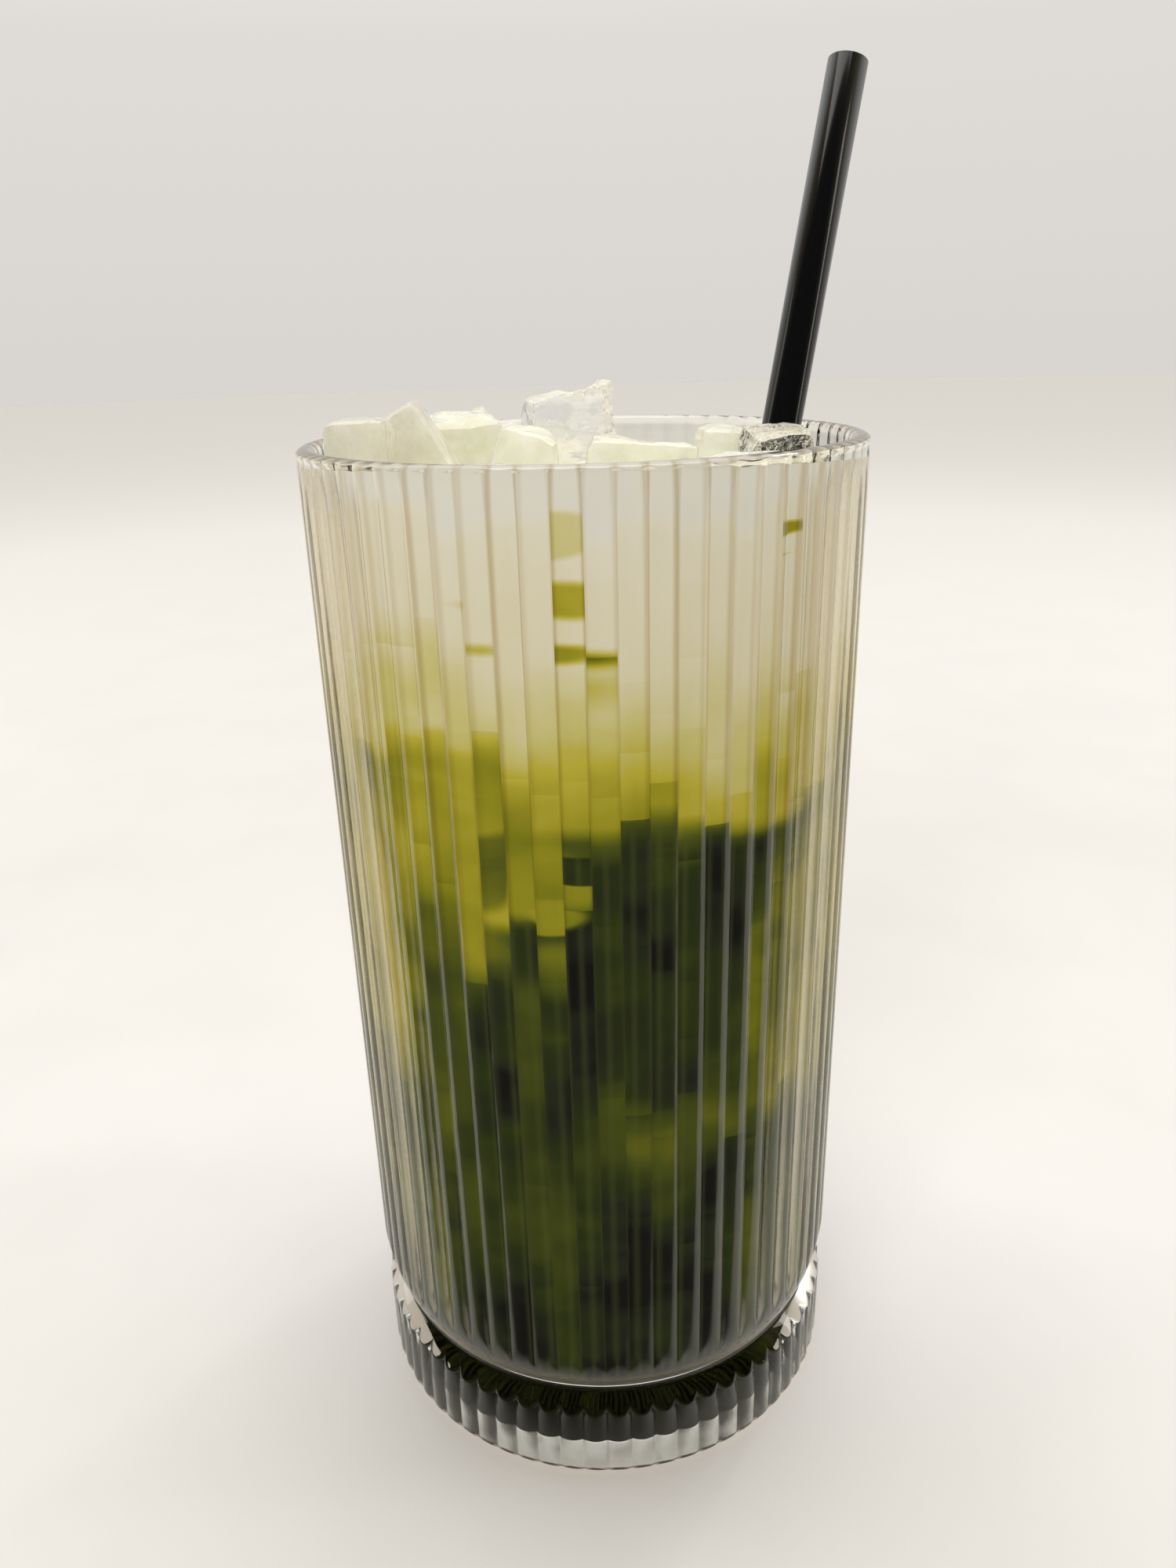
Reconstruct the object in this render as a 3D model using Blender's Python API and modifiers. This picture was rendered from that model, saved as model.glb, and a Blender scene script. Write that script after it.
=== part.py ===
"""Thai green tea over ice, topped with milk, in a tall ribbed glass with a black straw.

Metres, +Z up. The origin is the centre of the glass's foot, on the surface that it stands on. One rib valley
lies on the +X axis. The straw leans away from the drinker, towards the corner between +X and +Y.
"""

import math
import random

import bmesh
import bpy
from mathutils import Matrix, Vector

MM = 0.001
GAP = 0.3 * MM
SMOOTH_UP_TO = math.radians(30)

# Glass
GLASS_HEIGHT = 157.0 * MM
RIB_COUNT = 66
RIB_DEPTH = 0.65 * MM
RIB_POINTS = ((0.0, 1.0), (0.27, 0.0), (0.73, 0.0))
LIP_RADIUS = 40.0 * MM
LIP_DEPTH = 1.8 * MM
HEEL_RADIUS = 39.6 * MM
HEEL_TOP = 26.5 * MM
HEEL_EDGE = 17.7 * MM
HEEL_EDGE_RADIUS = 37.6 * MM
HEEL_HEIGHTS = (23.0 * MM, 21.0 * MM, 19.2 * MM)
GROOVE_RADIUS = 37.0 * MM
GROOVE_HEIGHT = 16.4 * MM
SHOULDER_BOTTOM = 12.6 * MM
FOOT_RADIUS = 39.4 * MM
FOOT_CHAMFER = 1.2 * MM
FOOT_RING_INNER = 36.0 * MM
RECESS_RADIUS = 30.0 * MM
RECESS_DEPTH = 2.4 * MM

# Roundings of the outside: how far below the lip, over the groove or up the shoulder, and how far in or out
LIP_OUTSIDE = ((0.0, 1.25 * MM), (0.8 * MM, 0.35 * MM))
LIP_INSIDE = ((1.0 * MM, 0.0), (0.1 * MM, 0.6 * MM))
GROOVE_TOP = (0.5 * MM, 0.15 * MM)
GROOVE_BOTTOM = (0.6 * MM, 0.1 * MM)
SHOULDER = ((0.45, 1.25 * MM), (0.2, 0.55 * MM))
FOOT_EDGE = 0.4 * MM

# Hollow of the glass
BORE_TOP_RADIUS = 37.3 * MM
BORE_BOTTOM_RADIUS = 35.6 * MM
FLOOR_HEIGHT = 16.0 * MM
FLOOR_CORNER = 6.0 * MM
FLOOR_CORNER_TURNS = (0, 30, 60, 90)

# Drink
DRINK_COLUMNS = 33
DRINK_LEVEL = 150.8 * MM
MILK_BOTTOM = 127.5 * MM
BLEND_BOTTOM = 104.0 * MM
SURFACE_RINGS = (1.0, 0.93, 0.7, 0.4, 0.12)

# Waves of the layers' surfaces round the glass: height, how many in a turn, and where they start in radians
BLEND_LEAN = (5.5 * MM, 1, -0.175)
BLEND_SWIRLS = ((2.2 * MM, 3, -0.471), (1.2 * MM, 5, 0.4))
MILK_LOBES = ((2.0 * MM, 2, -0.971), (1.6 * MM, 5, -0.9))
MILK_FOAM = (1.4 * MM, 4, -1.071)

# Straw
STRAW_DIAMETER = 6.0 * MM
STRAW_WALL = 0.4 * MM
STRAW_LENGTH = 199.6 * MM
STRAW_SIDES = 20
STRAW_ROOM = 0.42 * MM
STRAW_CUTTER_SIDES = 16
CUTTER_REACH = 4.0 * MM
STRAW_FOOT = Vector((5.6, -19.9, 17.3)) * MM
STRAW_AIM = Vector((0.154, 0.264, 0.952)).normalized()

# Ice: name, sides, centre in millimetres, turn in degrees about X, Y and Z, and how far its corners melt
ICE = (
    ("ice_left_cube", (8.2, 11.0, 19.0), (-28.5, -12.4, 151.0), (0, 0, 9), 0.25),
    ("ice_left_peak", (10.5, 11.5, 20.0), (-23.9, 1.6, 151.2), (0, -30, 9), 0.3),
    ("ice_left_back", (12.5, 10.5, 17.0), (-22.4, 16.6, 150.6), (8, -5, 29), 1.0),
    ("ice_middle", (8.2, 9.5, 14.0), (-10.1, 5.1, 150.2), (0, 12, 9), 1.0),
    ("ice_tall_clear", (15.0, 10.5, 19.0), (-4.6, 19.8, 152.8), (4, -6, 24), 1.2),
    ("ice_low", (14.5, 11.5, 10.0), (7.3, 4.6, 150.9), (0, 7, 12), 0.8),
    ("ice_straw_left", (6.6, 8.0, 13.0), (18.5, 15.4, 150.4), (0, 4, 9), 0.8),
    ("ice_straw_front", (9.5, 10.5, 13.0), (27.1, 2.4, 150.6), (3, 0, 14), 1.0),
    ("ice_front_left", (14.5, 12.0, 12.0), (-11.0, -22.2, 148.8), (6, 4, 38), 1.0),
    ("ice_front_middle", (13.5, 11.5, 12.0), (6.6, -23.0, 148.4), (-5, 3, -6), 1.0),
    ("ice_front_right", (11.5, 12.0, 12.0), (22.4, -13.6, 148.8), (4, -5, 52), 1.0),
)
ICE_BEVEL = 1.7
ICE_BEVEL_FULLNESS = 0.6
CUTTER_BEVEL = 0.75
ICE_SEED = 7


def clear_scene():
    for obj in list(bpy.data.objects):
        bpy.data.objects.remove(obj, do_unlink=True)


def new_collection(name):
    collection = bpy.data.collections.new(name)
    bpy.context.scene.collection.children.link(collection)
    return collection


def principled(name, colour, roughness, transmission=0.0, ior=1.45):
    material = bpy.data.materials.new(name)
    material.use_nodes = True
    shader = material.node_tree.nodes["Principled BSDF"]
    shader.inputs["Base Color"].default_value = (*colour, 1.0)
    shader.inputs["Roughness"].default_value = roughness
    shader.inputs["Transmission Weight"].default_value = transmission
    shader.inputs["IOR"].default_value = ior
    return material


def add_object(name, mesh, material, collection):
    obj = bpy.data.objects.new(name, mesh)
    mesh.materials.append(material)
    collection.objects.link(obj)
    return obj


def mesh_from(name, build):
    """A mesh that the function build fills, with its faces turned outwards."""
    shape = bmesh.new()
    build(shape)
    bmesh.ops.recalc_face_normals(shape, faces=shape.faces)
    mesh = bpy.data.meshes.new(name)
    shape.to_mesh(mesh)
    shape.free()
    mesh.shade_smooth()
    mesh.set_sharp_from_angle(angle=SMOOTH_UP_TO)
    return mesh


def from_axis(point):
    return point.co.xy.length


def stitch(shape, ring, following):
    """Triangles between two rings, where one may have a whole number of times the points of the other.

    The ring nearer the axis comes first, so that two surfaces of the same form are split alike.
    """
    if (len(following), from_axis(following[0])) < (len(ring), from_axis(ring[0])):
        ring, following = following, ring
    ratio = len(following) // len(ring)
    for i, corner in enumerate(ring):
        beyond = ring[(i + 1) % len(ring)]
        fine = [following[(i * ratio + k) % len(following)] for k in range(ratio + 1)]
        for k in range(ratio):
            shape.faces.new((corner if 2 * k < ratio else beyond, fine[k], fine[k + 1]))
            if k == (ratio - 1) // 2:
                shape.faces.new((corner, fine[k + 1], beyond))


def loft(name, sections):
    """A closed solid through the sections, each a list of points round the axis, with both ends filled."""

    def build(shape):
        rings = [[shape.verts.new(point) for point in section] for section in sections]
        for ring, following in zip(rings, rings[1:]):
            stitch(shape, ring, following)
        shape.faces.new(rings[0])
        shape.faces.new(rings[-1])

    return mesh_from(name, build)


def at_angle(radius, angle, height):
    return Vector((radius * math.cos(angle), radius * math.sin(angle), height))


def plain_ring(radius, height, columns):
    return [at_angle(radius, math.tau * i / columns, height) for i in range(columns)]


def mix(low, high, share):
    return low + (high - low) * share


# ---- glass ----


def bore_radius(height):
    """Radius of the hollow, which widens a little towards the lip."""
    share = (height - FLOOR_HEIGHT) / (GLASS_HEIGHT - FLOOR_HEIGHT)
    return mix(BORE_BOTTOM_RADIUS, BORE_TOP_RADIUS, share)


def crest_radius(height):
    """Radius of the rib crests, on the wall above the groove and on the foot below it."""
    if height < GROOVE_HEIGHT:
        return FOOT_RADIUS
    share = (height - HEEL_TOP) / (GLASS_HEIGHT - HEEL_TOP)
    return mix(HEEL_RADIUS, LIP_RADIUS, share)


def outside_ring(height, turned_radius):
    """A ring of the outside: the ribs, cut down to the turned form wherever that is smaller.

    Each rib has a valley and two shoulders, at RIB_POINTS' places across it and depths below its crest.
    """
    crest = crest_radius(height)
    if turned_radius <= crest - RIB_DEPTH:
        return plain_ring(turned_radius, height, RIB_COUNT)
    ring = []
    for rib in range(RIB_COUNT):
        for across, fall in RIB_POINTS:
            radius = min(crest - RIB_DEPTH * fall, turned_radius)
            ring.append(at_angle(radius, math.tau * (rib + across) / RIB_COUNT, height))
    return ring


def heel_radius(height):
    """Turned form of the heel, which curves in from the wall to a sharp edge over the groove."""
    share = (HEEL_TOP - height) / (HEEL_TOP - HEEL_EDGE)
    return mix(HEEL_RADIUS, HEEL_EDGE_RADIUS, share**2)


def outside_rings():
    """The outside from the lip down to the foot ring, as the turned form that trims the ribs."""
    uncut = LIP_RADIUS + 1 * MM
    turned = [(GLASS_HEIGHT - below, LIP_RADIUS - inwards) for below, inwards in LIP_OUTSIDE]
    turned += [(GLASS_HEIGHT - LIP_DEPTH, uncut), (HEEL_TOP, uncut)]
    turned += [(height, heel_radius(height)) for height in HEEL_HEIGHTS]
    turned += [
        (HEEL_EDGE, HEEL_EDGE_RADIUS),
        (HEEL_EDGE - GROOVE_TOP[0], GROOVE_RADIUS + GROOVE_TOP[1]),
        (GROOVE_HEIGHT - GROOVE_BOTTOM[0], GROOVE_RADIUS + GROOVE_BOTTOM[1]),
    ]
    turned += [
        (mix(SHOULDER_BOTTOM, GROOVE_HEIGHT, share), FOOT_RADIUS - inwards) for share, inwards in SHOULDER
    ]
    turned += [
        (SHOULDER_BOTTOM - FOOT_EDGE, uncut),
        (FOOT_CHAMFER + FOOT_EDGE, uncut),
        (FOOT_CHAMFER / 2, FOOT_RADIUS - FOOT_CHAMFER / 2),
        (0.0, FOOT_RADIUS - FOOT_CHAMFER),
    ]
    return [outside_ring(height, radius) for height, radius in turned]


def floor_rings(inset, columns):
    """The floor of the hollow and the rounded corner up to its wall, or the same form set in from them."""
    centre_radius = bore_radius(FLOOR_HEIGHT + FLOOR_CORNER) - FLOOR_CORNER
    corner = FLOOR_CORNER - inset
    rings = []
    for degrees in FLOOR_CORNER_TURNS:
        turn = math.radians(degrees)
        height = FLOOR_HEIGHT + FLOOR_CORNER - corner * math.cos(turn)
        rings.append(plain_ring(centre_radius + corner * math.sin(turn), height, columns))
    return rings


def inside_rings():
    """The hollow, from the middle of its floor up to the lip."""
    lip = [
        plain_ring(BORE_TOP_RADIUS + outwards, GLASS_HEIGHT - below, RIB_COUNT)
        for below, outwards in LIP_INSIDE
    ]
    return floor_rings(0.0, RIB_COUNT) + lip


def underside_rings():
    """The flat ring that the glass stands on, and the shallow recess inside it."""
    return [
        plain_ring(FOOT_RING_INNER, 0.0, RIB_COUNT),
        plain_ring(RECESS_RADIUS, RECESS_DEPTH, RIB_COUNT),
    ]


def make_glass(material, collection):
    mesh = loft("glass", inside_rings() + outside_rings() + underside_rings())
    return add_object("glass", mesh, material, collection)


# ---- drink ----


def wave(angle, kind):
    height, count, start = kind
    return height * math.cos(count * angle + start)


def blend_floor(share, angle):
    """Top of the strong tea, which stands higher on the right and swirls up a little."""
    swirls = sum(wave(angle, kind) for kind in BLEND_SWIRLS)
    return BLEND_BOTTOM + wave(angle, BLEND_LEAN) * share + swirls * share**2


def milk_floor(share, angle):
    """Underside of the milk, which sinks into the tea in lobes."""
    return MILK_BOTTOM + sum(wave(angle, kind) for kind in MILK_LOBES) * share**2


def milk_top(share, angle):
    """Surface of the milk, gently uneven with foam."""
    return DRINK_LEVEL + wave(angle, MILK_FOAM) * share * (1 - share)


def raised(surface, by):
    return lambda share, angle: surface(share, angle) + by


def surface_ring(surface, share):
    """A ring of a surface across the drink, at a share of the drink's radius."""
    ring = []
    for i in range(DRINK_COLUMNS):
        angle = math.tau * i / DRINK_COLUMNS
        height = surface(share, angle)
        ring.append(at_angle((bore_radius(height) - GAP) * share, angle, height))
    return ring


def surface_rings(surface):
    """A whole surface, from the wall of the glass to the middle."""
    return [surface_ring(surface, share) for share in SURFACE_RINGS]


def make_drink(materials, collection):
    """Three layers on top of each other, each up to the wall of the glass."""
    floors = {
        "tea": floor_rings(GAP, DRINK_COLUMNS),
        "blend": surface_rings(raised(blend_floor, GAP))[::-1],
        "milk": surface_rings(raised(milk_floor, GAP))[::-1],
    }
    tops = {"tea": blend_floor, "blend": milk_floor, "milk": milk_top}
    layers = []
    for kind, floor in floors.items():
        name = f"{kind}_layer"
        mesh = loft(name, floor + surface_rings(tops[kind]))
        layers.append(add_object(name, mesh, materials[kind], collection))
    return layers


# ---- straw ----


def place_along(obj, start, direction):
    obj.location = start
    obj.rotation_mode = "QUATERNION"
    obj.rotation_quaternion = Vector((0, 0, 1)).rotation_difference(direction)


def make_straw(material, collection):
    """A turned tube, open at both ends."""
    outer = STRAW_DIAMETER / 2
    inner = outer - STRAW_WALL
    corners = ((outer, STRAW_LENGTH), (outer, 0.0), (inner, 0.0), (inner, STRAW_LENGTH))
    mesh = bpy.data.meshes.new("straw")
    edges = [(i, (i + 1) % len(corners)) for i in range(len(corners))]
    mesh.from_pydata([(radius, 0.0, height) for radius, height in corners], edges, [])
    straw = add_object("straw", mesh, material, collection)
    screw = straw.modifiers.new("turn", "SCREW")
    screw.steps = screw.render_steps = STRAW_SIDES
    screw.use_merge_vertices = True
    screw.merge_threshold = 0.00001
    place_along(straw, STRAW_FOOT, STRAW_AIM)
    return straw


def make_straw_cutter(collection):
    """The straw's way through the drink, with a little room round it."""
    bpy.ops.mesh.primitive_cylinder_add(
        vertices=STRAW_CUTTER_SIDES, radius=STRAW_DIAMETER / 2 + STRAW_ROOM, depth=STRAW_LENGTH
    )
    cutter = bpy.context.object
    cutter.name = "straw_cutter"
    cutter.data.transform(Matrix.Translation((0, 0, STRAW_LENGTH / 2 - CUTTER_REACH)))
    place_along(cutter, STRAW_FOOT, STRAW_AIM)
    hide_cutter(cutter, collection)
    return cutter


# ---- ice ----


def melted_block(seed, sides, taper, grow):
    """Fills a mesh with a block of ice whose corners have moved and whose edges have melted round.

    With grow, the block is that much larger all round and plainer, to cut its place in the milk.
    """

    def build(shape):
        draw = random.Random(seed)
        bmesh.ops.create_cube(shape, size=1.0)
        for corner in shape.verts:
            moved = [draw.uniform(-taper, taper) for _ in range(3)]
            for axis in range(3):
                outwards = math.copysign(1.0, corner.co[axis])
                corner.co[axis] = (corner.co[axis] * sides[axis] + moved[axis] + outwards * grow) * MM
        rounding = ICE_BEVEL * MM * (CUTTER_BEVEL if grow else 1.0)
        steps = 1 if grow else 2
        bmesh.ops.bevel(
            shape,
            geom=list(shape.edges),
            offset=rounding,
            segments=steps,
            profile=ICE_BEVEL_FULLNESS,
            affect="EDGES",
        )

    return build


def make_ice_block(index, grow, material, collection):
    name, sides, centre, turn, taper = ICE[index]
    label = name if grow == 0 else f"{name}_cutter"
    mesh = mesh_from(label, melted_block(ICE_SEED + index, sides, taper, grow))
    block = add_object(label, mesh, material, collection)
    block.location = Vector(centre) * MM
    block.rotation_euler = [math.radians(degrees) for degrees in turn]
    return block


# ---- cutting ----


def hide_cutter(cutter, collection):
    for holder in list(cutter.users_collection):
        holder.objects.unlink(cutter)
    collection.objects.link(cutter)
    cutter.hide_render = True
    cutter.display_type = "WIRE"


def cut(target, cutter):
    boolean = target.modifiers.new(f"cut_{cutter.name}", "BOOLEAN")
    boolean.operation = "DIFFERENCE"
    boolean.object = cutter


def make_materials():
    return {
        "glass": principled("soda_lime_glass", (0.86, 0.88, 0.86), 0.02, 1.0, 1.52),
        "tea": principled("strong_green_tea", (0.02, 0.035, 0.012), 0.1),
        "blend": principled("tea_with_milk", (0.36, 0.36, 0.05), 0.15),
        "milk": principled("milk", (0.72, 0.68, 0.5), 0.25),
        "straw": principled("black_straw_plastic", (0.008, 0.008, 0.01), 0.12),
        "ice": principled("ice", (0.8, 0.8, 0.66), 0.08, 0.6, 1.31),
    }


def main():
    clear_scene()
    parts = new_collection("thai_green_tea")
    cutters = new_collection("cutters")
    materials = make_materials()
    make_glass(materials["glass"], parts)
    tea, blend, milk = make_drink(materials, parts)
    make_straw(materials["straw"], parts)
    straw_cutter = make_straw_cutter(cutters)
    for layer in (tea, blend, milk):
        cut(layer, straw_cutter)
    for index in range(len(ICE)):
        make_ice_block(index, 0.0, materials["ice"], parts)
        ice_cutter = make_ice_block(index, GAP / MM, materials["ice"], cutters)
        hide_cutter(ice_cutter, cutters)
        cut(milk, ice_cutter)


main()
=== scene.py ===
"""Thai green tea over ice, topped with milk, in a tall ribbed glass with a black straw: the finished looks.

Metres, +Z up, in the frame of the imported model. The sizes below are in millimetres and the angles in degrees,
unless a comment says otherwise.
"""

import math

import bmesh
import bpy
from mathutils import Matrix, Vector, noise
from mathutils.bvhtree import BVHTree


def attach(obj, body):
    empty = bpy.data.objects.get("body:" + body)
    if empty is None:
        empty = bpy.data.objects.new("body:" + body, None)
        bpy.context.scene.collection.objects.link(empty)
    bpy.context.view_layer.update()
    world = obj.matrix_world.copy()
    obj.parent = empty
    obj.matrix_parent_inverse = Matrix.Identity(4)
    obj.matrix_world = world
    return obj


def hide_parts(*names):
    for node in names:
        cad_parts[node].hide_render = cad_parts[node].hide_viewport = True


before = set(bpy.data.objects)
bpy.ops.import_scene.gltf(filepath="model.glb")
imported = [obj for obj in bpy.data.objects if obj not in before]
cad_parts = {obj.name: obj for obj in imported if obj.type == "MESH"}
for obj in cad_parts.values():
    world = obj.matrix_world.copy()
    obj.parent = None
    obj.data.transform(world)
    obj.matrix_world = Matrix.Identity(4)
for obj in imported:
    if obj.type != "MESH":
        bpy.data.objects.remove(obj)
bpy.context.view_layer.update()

MM = 0.001

# The size of a pattern, further down, is a length over how many lie on it: 25 / 3 is three waves on 25 mm.
# Almost all of a noise lies between these two
NOISE_LOW = 0.3
NOISE_HIGH = 0.7

# Camera: where it stands and how it is turned, for a frame of 1500 x 2000
CAMERA_PLACE = (25.68, -169.78, 170.72)
CAMERA_HEADING = 8.81
CAMERA_DIP = 21.32
CAMERA_ROLL = -1.61
FRAME_HEIGHT = 2000
FOCAL_LENGTH = 1480
SENSOR = 36.0

# Ribs of the glass: each is an arc of its own radius, and the valleys between them are rounded
RIB_COUNT = 66
RIB_STEPS = 12
WALL_RIB_RADIUS = 3.6
SHOULDER_RIB_RADIUS = 2.4
FOOT_RIB_RADIUS = 4.5
FOOT_RIB_HEIGHT = 7.5
VALLEY_ROUNDING = 0.16
LEAST_ROOT = 0.01
# Share of their depth that is left at the lip, and the height over which they lose the rest
LIP_RIB_SHARE = 0.3
LIP_FADE = 5.0

# Turned form of the glass, from the lip down. The shoulder starts outside and below the groove's bottom
GLASS_HEIGHT = 157.0
LIP_RADIUS = 40.0
LIP_MIDDLE = 38.6
LIP_HALF = 1.4
LIP_STEPS = 10
HEEL_RADIUS = 39.6
HEEL_TOP = 26.5
HEEL_EDGE = 17.7
HEEL_EDGE_RADIUS = 37.6
HEEL_STEPS = 14
EDGE_ROUNDING = 0.1
EDGE_STEPS = 3
GROOVE_RADIUS = 37.0
GROOVE_HEIGHT = 16.0
GROOVE_CORNER = 0.05
SHOULDER_OUTSIDE = 0.25
SHOULDER_BELOW = 0.2
SHOULDER_BOTTOM = 13.1
SHOULDER_BULGE = 0.06
SHOULDER_STEPS = 8
FOOT_RADIUS = 39.4
FOOT_CHAMFER = 1.7
FOOT_ROUNDING = 0.1
FOOT_RING_INNER = 36.0
RECESS_RADIUS = 30.0
RECESS_DEPTH = 2.4
# So much wider than the ribs that it doesn't trim them
CLEAR_OF_RIBS = 0.3

# Hollow of the glass
BORE_TOP_RADIUS = 37.3
BORE_BOTTOM_RADIUS = 35.6
FLOOR_HEIGHT = 16.0
FLOOR_CORNER = 6.0
FLOOR_CORNER_STEPS = 10
INNER_LIP_STEPS = 7

# Points this close to a corner of the turned form, where it bends by more than CORNER, keep its shading crisp
SUPPORT = 0.12
CORNER = math.radians(6)

# Looks of the glass: slants that count as face on and edge on for the light of lamps. The ground slope under
# the foot starts GROUND_MARGIN outside the inner edge of its ring, and the grinding fades over GROUND_FADE
GLASS_IOR = 1.52
FACE_ON = 0.3
EDGE_ON = 0.95
GLASS_WAVE = 25 / 3
GROUND_ROUGHNESS = 0.16
GROUND_MARGIN = 0.6
GROUND_FADE = 0.15

# Shape of the drink. Its rings crowd towards the wall, and it is in the open from OPEN_MARGIN under its level
INTO_WALL = 0.12
FILM_TOP_FRONT = 156.2
FILM_TOP_BACK = 151.6
FILM_THICKNESS = 0.3
FILM_INTO_LIP = 0.2
DRINK_LEVEL = 150.8
DRINK_COLUMNS = 264
MILK_RINGS = 44
RING_CROWDING = 1.2
OPEN_MARGIN = 1.0
MENISCUS_RISE = 0.9
ICE_MENISCUS = 0.7
MENISCUS_REACH = 1.6
# Broad and fine unevenness of milk and film: height, how many to a millimetre, and layer of the noise
MILK_SWELLS = ((0.35, 0.11, 0.0), (0.12, 0.6, 5.0))
FILM_SWELLS = ((0.3, 0.1, 9.0), (0.1, 0.5, 2.0))

# Looks of the drink through the ribs. Places across a rib are shares of its width, counted from its crest
TEA_IOR = 1.34
MOSAIC_HEIGHT = 9.0
MOSAIC_SHIFT = 2.2
RIB_SHARE = 0.3
# Painted shade: the drink is darker behind each valley, where the ribs gather less light onto it
VALLEY_SHADE_COLOUR = "#ddd2bb"
VALLEY_SHADE_FROM = 0.27
VALLEY_SHADE_TO = 0.42
LEAST_VALLEY_SHADE = 0.35
# Painted sheen of the glass on strong tea: a fine paler line on every crest and in every valley
SHEEN_LINE_WIDTH = 0.14
SHEEN_COLOUR = "#5a6032"
CREST_SHEEN_SHARE = 0.7
SHEEN_FROM_TEA = 0.6
SHEEN_FULL_TEA = 0.9
SHEEN_SHARE = 0.29
SWIRL_SIZE = 17.0
SWIRL_SHIFT = 5.0
STREAK_WIDTH = 20 / 7
STREAK_LENGTH = 100 / 3
STREAK_SHARE = 0.05
CLOUD_WIDTH = 7.0
CLOUD_HEIGHT = 22.0
CLOUD_SHARE = 0.13
PLAIN_MILK = 0.08
CLOUDY_MILK = 0.4

# Pale sides of the drink: they start and end at these slants, from 0 face on to 1 edge on
PALE_SIDE_FROM = 0.235
PALE_SIDE_TO = 0.42
PALE_SIDE_SHARE = 0.95
PALE_SIDE_COLOUR = "#fbf3e3"
PALE_SIDE_TEA = 0.33
PALE_SIDE_BOTTOM = 2.0

# Milk and foam in the open
MILK_STAIN = 100 / 9
FOAM_BUBBLE = 10 / 9

# Ice
ICE_DEPTH = 6
ICE_CORNER = math.radians(32)
ICE_WAVES_PER_MM = 0.16
CHIP_SHARE = 0.8
CHIP_MIDDLE = 0.6
NOISE_STEP = 13.0
ICE_CLOUD = 50 / 11
ICE_DENT = 10 / 7
# Kind, colour in its depth, colour near its skin, how much light passes, and depth of its dents
ICE_KINDS = (
    ("khaki_ice", "#e2dfcf", "#f2f0e8", 0.5, 0.5),
    ("tea_stained_ice", "#eaead9", "#f8f8ef", 0.5, 0.5),
    ("clear_ice", "#f8f8f5", "#ffffff", 0.9, 0.5),
    ("frosted_ice", "#f8f8f4", "#ffffff", 1.0, 3.0),
)
# Node, kind, how far melting moves its skin, and chips to a millimetre
ICE_BLOCKS = (
    ("ice_left_cube", "khaki_ice", 0.22, 0.12),
    ("ice_left_peak", "khaki_ice", 0.25, 0.12),
    ("ice_left_back", "tea_stained_ice", 0.9, 0.3),
    ("ice_middle", "tea_stained_ice", 0.7, 0.3),
    ("ice_tall_clear", "clear_ice", 0.9, 0.22),
    ("ice_low", "tea_stained_ice", 0.5, 0.3),
    ("ice_straw_left", "tea_stained_ice", 0.5, 0.3),
    ("ice_straw_front", "frosted_ice", 0.5, 0.5),
    ("ice_front_left", "clear_ice", 0.4, 0.3),
    ("ice_front_middle", "clear_ice", 0.4, 0.3),
    ("ice_front_right", "clear_ice", 0.4, 0.3),
)

# Straw
STRAW_DIAMETER = 6.0
STRAW_WALL = 0.4
STRAW_LENGTH = 199.2
STRAW_SIDES = 64
STRAW_FOOT = Vector((5.6, -19.9, 17.3))
STRAW_AIM = Vector((0.154, 0.264, 0.952)).normalized()
DIE_LINE = 2 / 3
DIE_LINE_LENGTH = 125.0

# Floor: its radius in metres, where it turns paler, and where its dim part begins and is full
FLOOR_SPREAD = 4.0
FLOOR_SIDES = 96
BOARD_COAT = 50.0
PALER_FROM = 250.0
PALER_TO = 1000.0
FLOOR_DIM_FROM = -42.0
FLOOR_DIM_TO = -52.0

# Room: its colours from straight down to straight up, and from its dim side to its full one, where a side is
# how far a direction points along +Y. The dim side reaches MIRRORED_DIM further in mirrored light
ROOM_STRENGTH = 1.27
ROOM_BY_HEIGHT = ((0.0, "#3c3a36"), (0.4, "#8a8782"), (0.47, "#c2bfbb"), (0.6, "#c9c6c2"), (0.85, "#ffffff"))
ROOM_BY_SIDE = ((0.0, "#1b1a18"), (0.65, "#b5a988"), (1.0, "#ffffff"))
DIM_SIDE = -0.55
FULL_SIDE = 0.1
MIRRORED_DIM = 0.36
IN_VIEW_SHIFT = 2.0

# Lamps, in metres and watts: where they all point, then name, place, size, power, and whether each shows in
# mirrored light. The side softboxes are tall and narrow
LAMP_AIM = (0.0, 0.0, 0.09)
LAMPS = (
    ("overhead_softbox", (0.0, 0.2, 1.1), (0.7, 0.5), 3.0, True),
    ("left_softbox", (-0.9, 0.2, 0.5), (0.2, 1.0), 1.0, True),
    ("right_softbox", (0.9, 0.15, 0.5), (0.08, 1.0), 1.0, True),
    ("sparkle_lamp", (0.35, 0.55, 0.75), (0.06, 0.06), 0.7, True),
    ("front_fill", (-0.1, -1.0, 0.8), (1.0, 0.7), 9.4, False),
)


# ---- materials ----


def colour(code):
    """An sRGB hex colour as linear red, green, blue and alpha."""
    values = [int(code[i : i + 2], 16) / 255 for i in (1, 3, 5)]
    linear = [v / 12.92 if v <= 0.04045 else ((v + 0.055) / 1.055) ** 2.4 for v in values]
    return (*linear, 1.0)


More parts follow.
